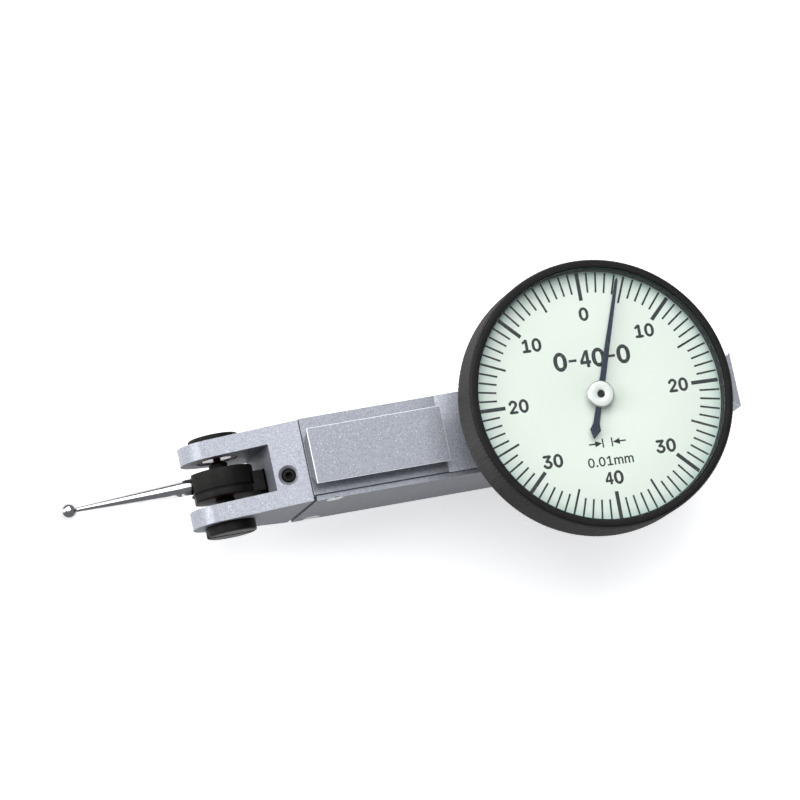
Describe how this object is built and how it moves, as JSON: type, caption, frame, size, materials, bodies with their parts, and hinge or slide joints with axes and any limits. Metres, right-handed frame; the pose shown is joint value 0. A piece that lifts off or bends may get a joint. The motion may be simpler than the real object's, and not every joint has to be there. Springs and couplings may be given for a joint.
{
  "type": "lever dial test indicator",
  "caption": "Lever-type dial test indicator: swivelling ball stylus in a fork head, slim body with dovetails, and a round dial with a turning bezel.",
  "frame": {"origin": "where the dial's axis meets the resting face of the bottom dovetail", "axes": "+X along the body from the stylus towards the dial, +Y across the body along the lever's pivot, +Z the dial's normal, towards the reader"},
  "size_m": [0.0741, 0.0296, 0.0272],
  "materials": {
    "satin_chrome": "matt chrome plating with a fine pearl-blasted grain, edges polished bright",
    "bright_screw": "machined steel",
    "black_steel": "black oxide, semi-gloss",
    "jewel": "polished synthetic ruby",
    "movement_brass": "satin brass",
    "spring_bronze": "rolled phosphor bronze",
    "polished_steel": "ground and polished hardened steel",
    "black_anodised": "black finish, satin, fine diamond knurl around the bezel",
    "dial_enamel": "matt pale green-white enamel with black printed graduations",
    "pointer_blue": "dark blue",
    "crystal": "clear flat crystal"
  },
  "bodies": {
    "frame": {"body_frame": "satin_chrome", "fork_head": "satin_chrome", "side_cover": "satin_chrome", "side_cover_screw_1": "bright_screw", "side_cover_screw_2": "bright_screw", "side_cover_screw_3": "bright_screw", "side_cover_screw_4": "bright_screw", "head_screw_1": "bright_screw", "head_screw_2": "bright_screw", "head_set_screw": "black_steel", "bearing_cap_near": "black_steel", "bearing_cap_far": "black_steel", "pivot_jewel_near": "jewel", "pivot_jewel_far": "jewel", "crown_bridge": "movement_brass", "crown_bridge_screw_1": "bright_screw", "crown_bridge_screw_2": "bright_screw", "crown_jewel_near": "jewel", "crown_jewel_far": "jewel", "lower_bracket": "movement_brass", "lower_bracket_screw": "bright_screw", "lower_jewel": "jewel", "dial_case": "black_anodised", "case_screw_1": "bright_screw", "case_screw_2": "bright_screw", "case_screw_3": "bright_screw", "movement_bridge": "movement_brass", "bridge_screw_1": "bright_screw", "bridge_screw_2": "bright_screw", "upper_bush": "spring_bronze", "hairspring": "spring_bronze", "hairspring_stud": "movement_brass", "bezel_snap_ring": "polished_steel"},
    "bezel": {"bezel": "black_anodised", "crystal": "crystal", "dial_plate": "dial_enamel", "dial_retaining_ring": "black_anodised"},
    "lever": {"pivot_shaft": "black_steel", "lever_arm": "black_steel", "sector_gear": "movement_brass", "friction_washer": "spring_bronze"},
    "stylus": {"stylus_hub": "black_steel", "stylus": "polished_steel", "stylus_ball": "polished_steel"},
    "crown": {"crown_arbor": "polished_steel", "crown_wheel": "movement_brass", "crown_pinion": "polished_steel"},
    "pointer": {"centre_arbor": "polished_steel", "centre_pinion": "polished_steel", "hairspring_collet": "movement_brass", "pointer": "pointer_blue", "pointer_hub": "polished_steel"}
  },
  "joints": [
    {"name": "bezel_turn", "type": "hinge", "parent": "frame", "child": "bezel", "pos_m": [0, 0, 0.0256], "axis": [0, 0, 1], "continuous": true},
    {"name": "lever_swing", "type": "hinge", "parent": "frame", "child": "lever", "pos_m": [-0.039, 0, 0.00895], "axis": [0, 1, 0], "range_deg": [-1.5, 1.5], "stiffness_Nm_per_rad": 0.05},
    {"name": "stylus_swivel", "type": "hinge", "parent": "lever", "child": "stylus", "pos_m": [-0.039, 0, 0.00895], "axis": [0, 1, 0], "range_deg": [-105, 105]},
    {"name": "crown_spin", "type": "hinge", "parent": "frame", "child": "crown", "pos_m": [0, 0, 0.00895], "axis": [0, 1, 0], "range_deg": [-48, 48]},
    {"name": "pointer_spin", "type": "hinge", "parent": "frame", "child": "pointer", "pos_m": [0, 0, 0.0256], "axis": [0, 0, 1], "range_deg": [-204, 204]}
  ],
  "couplings": [
    {"joint": "crown_spin", "follows": "lever_swing", "ratio": -31.5},
    {"joint": "pointer_spin", "follows": "lever_swing", "ratio": -135.45}
  ]
}
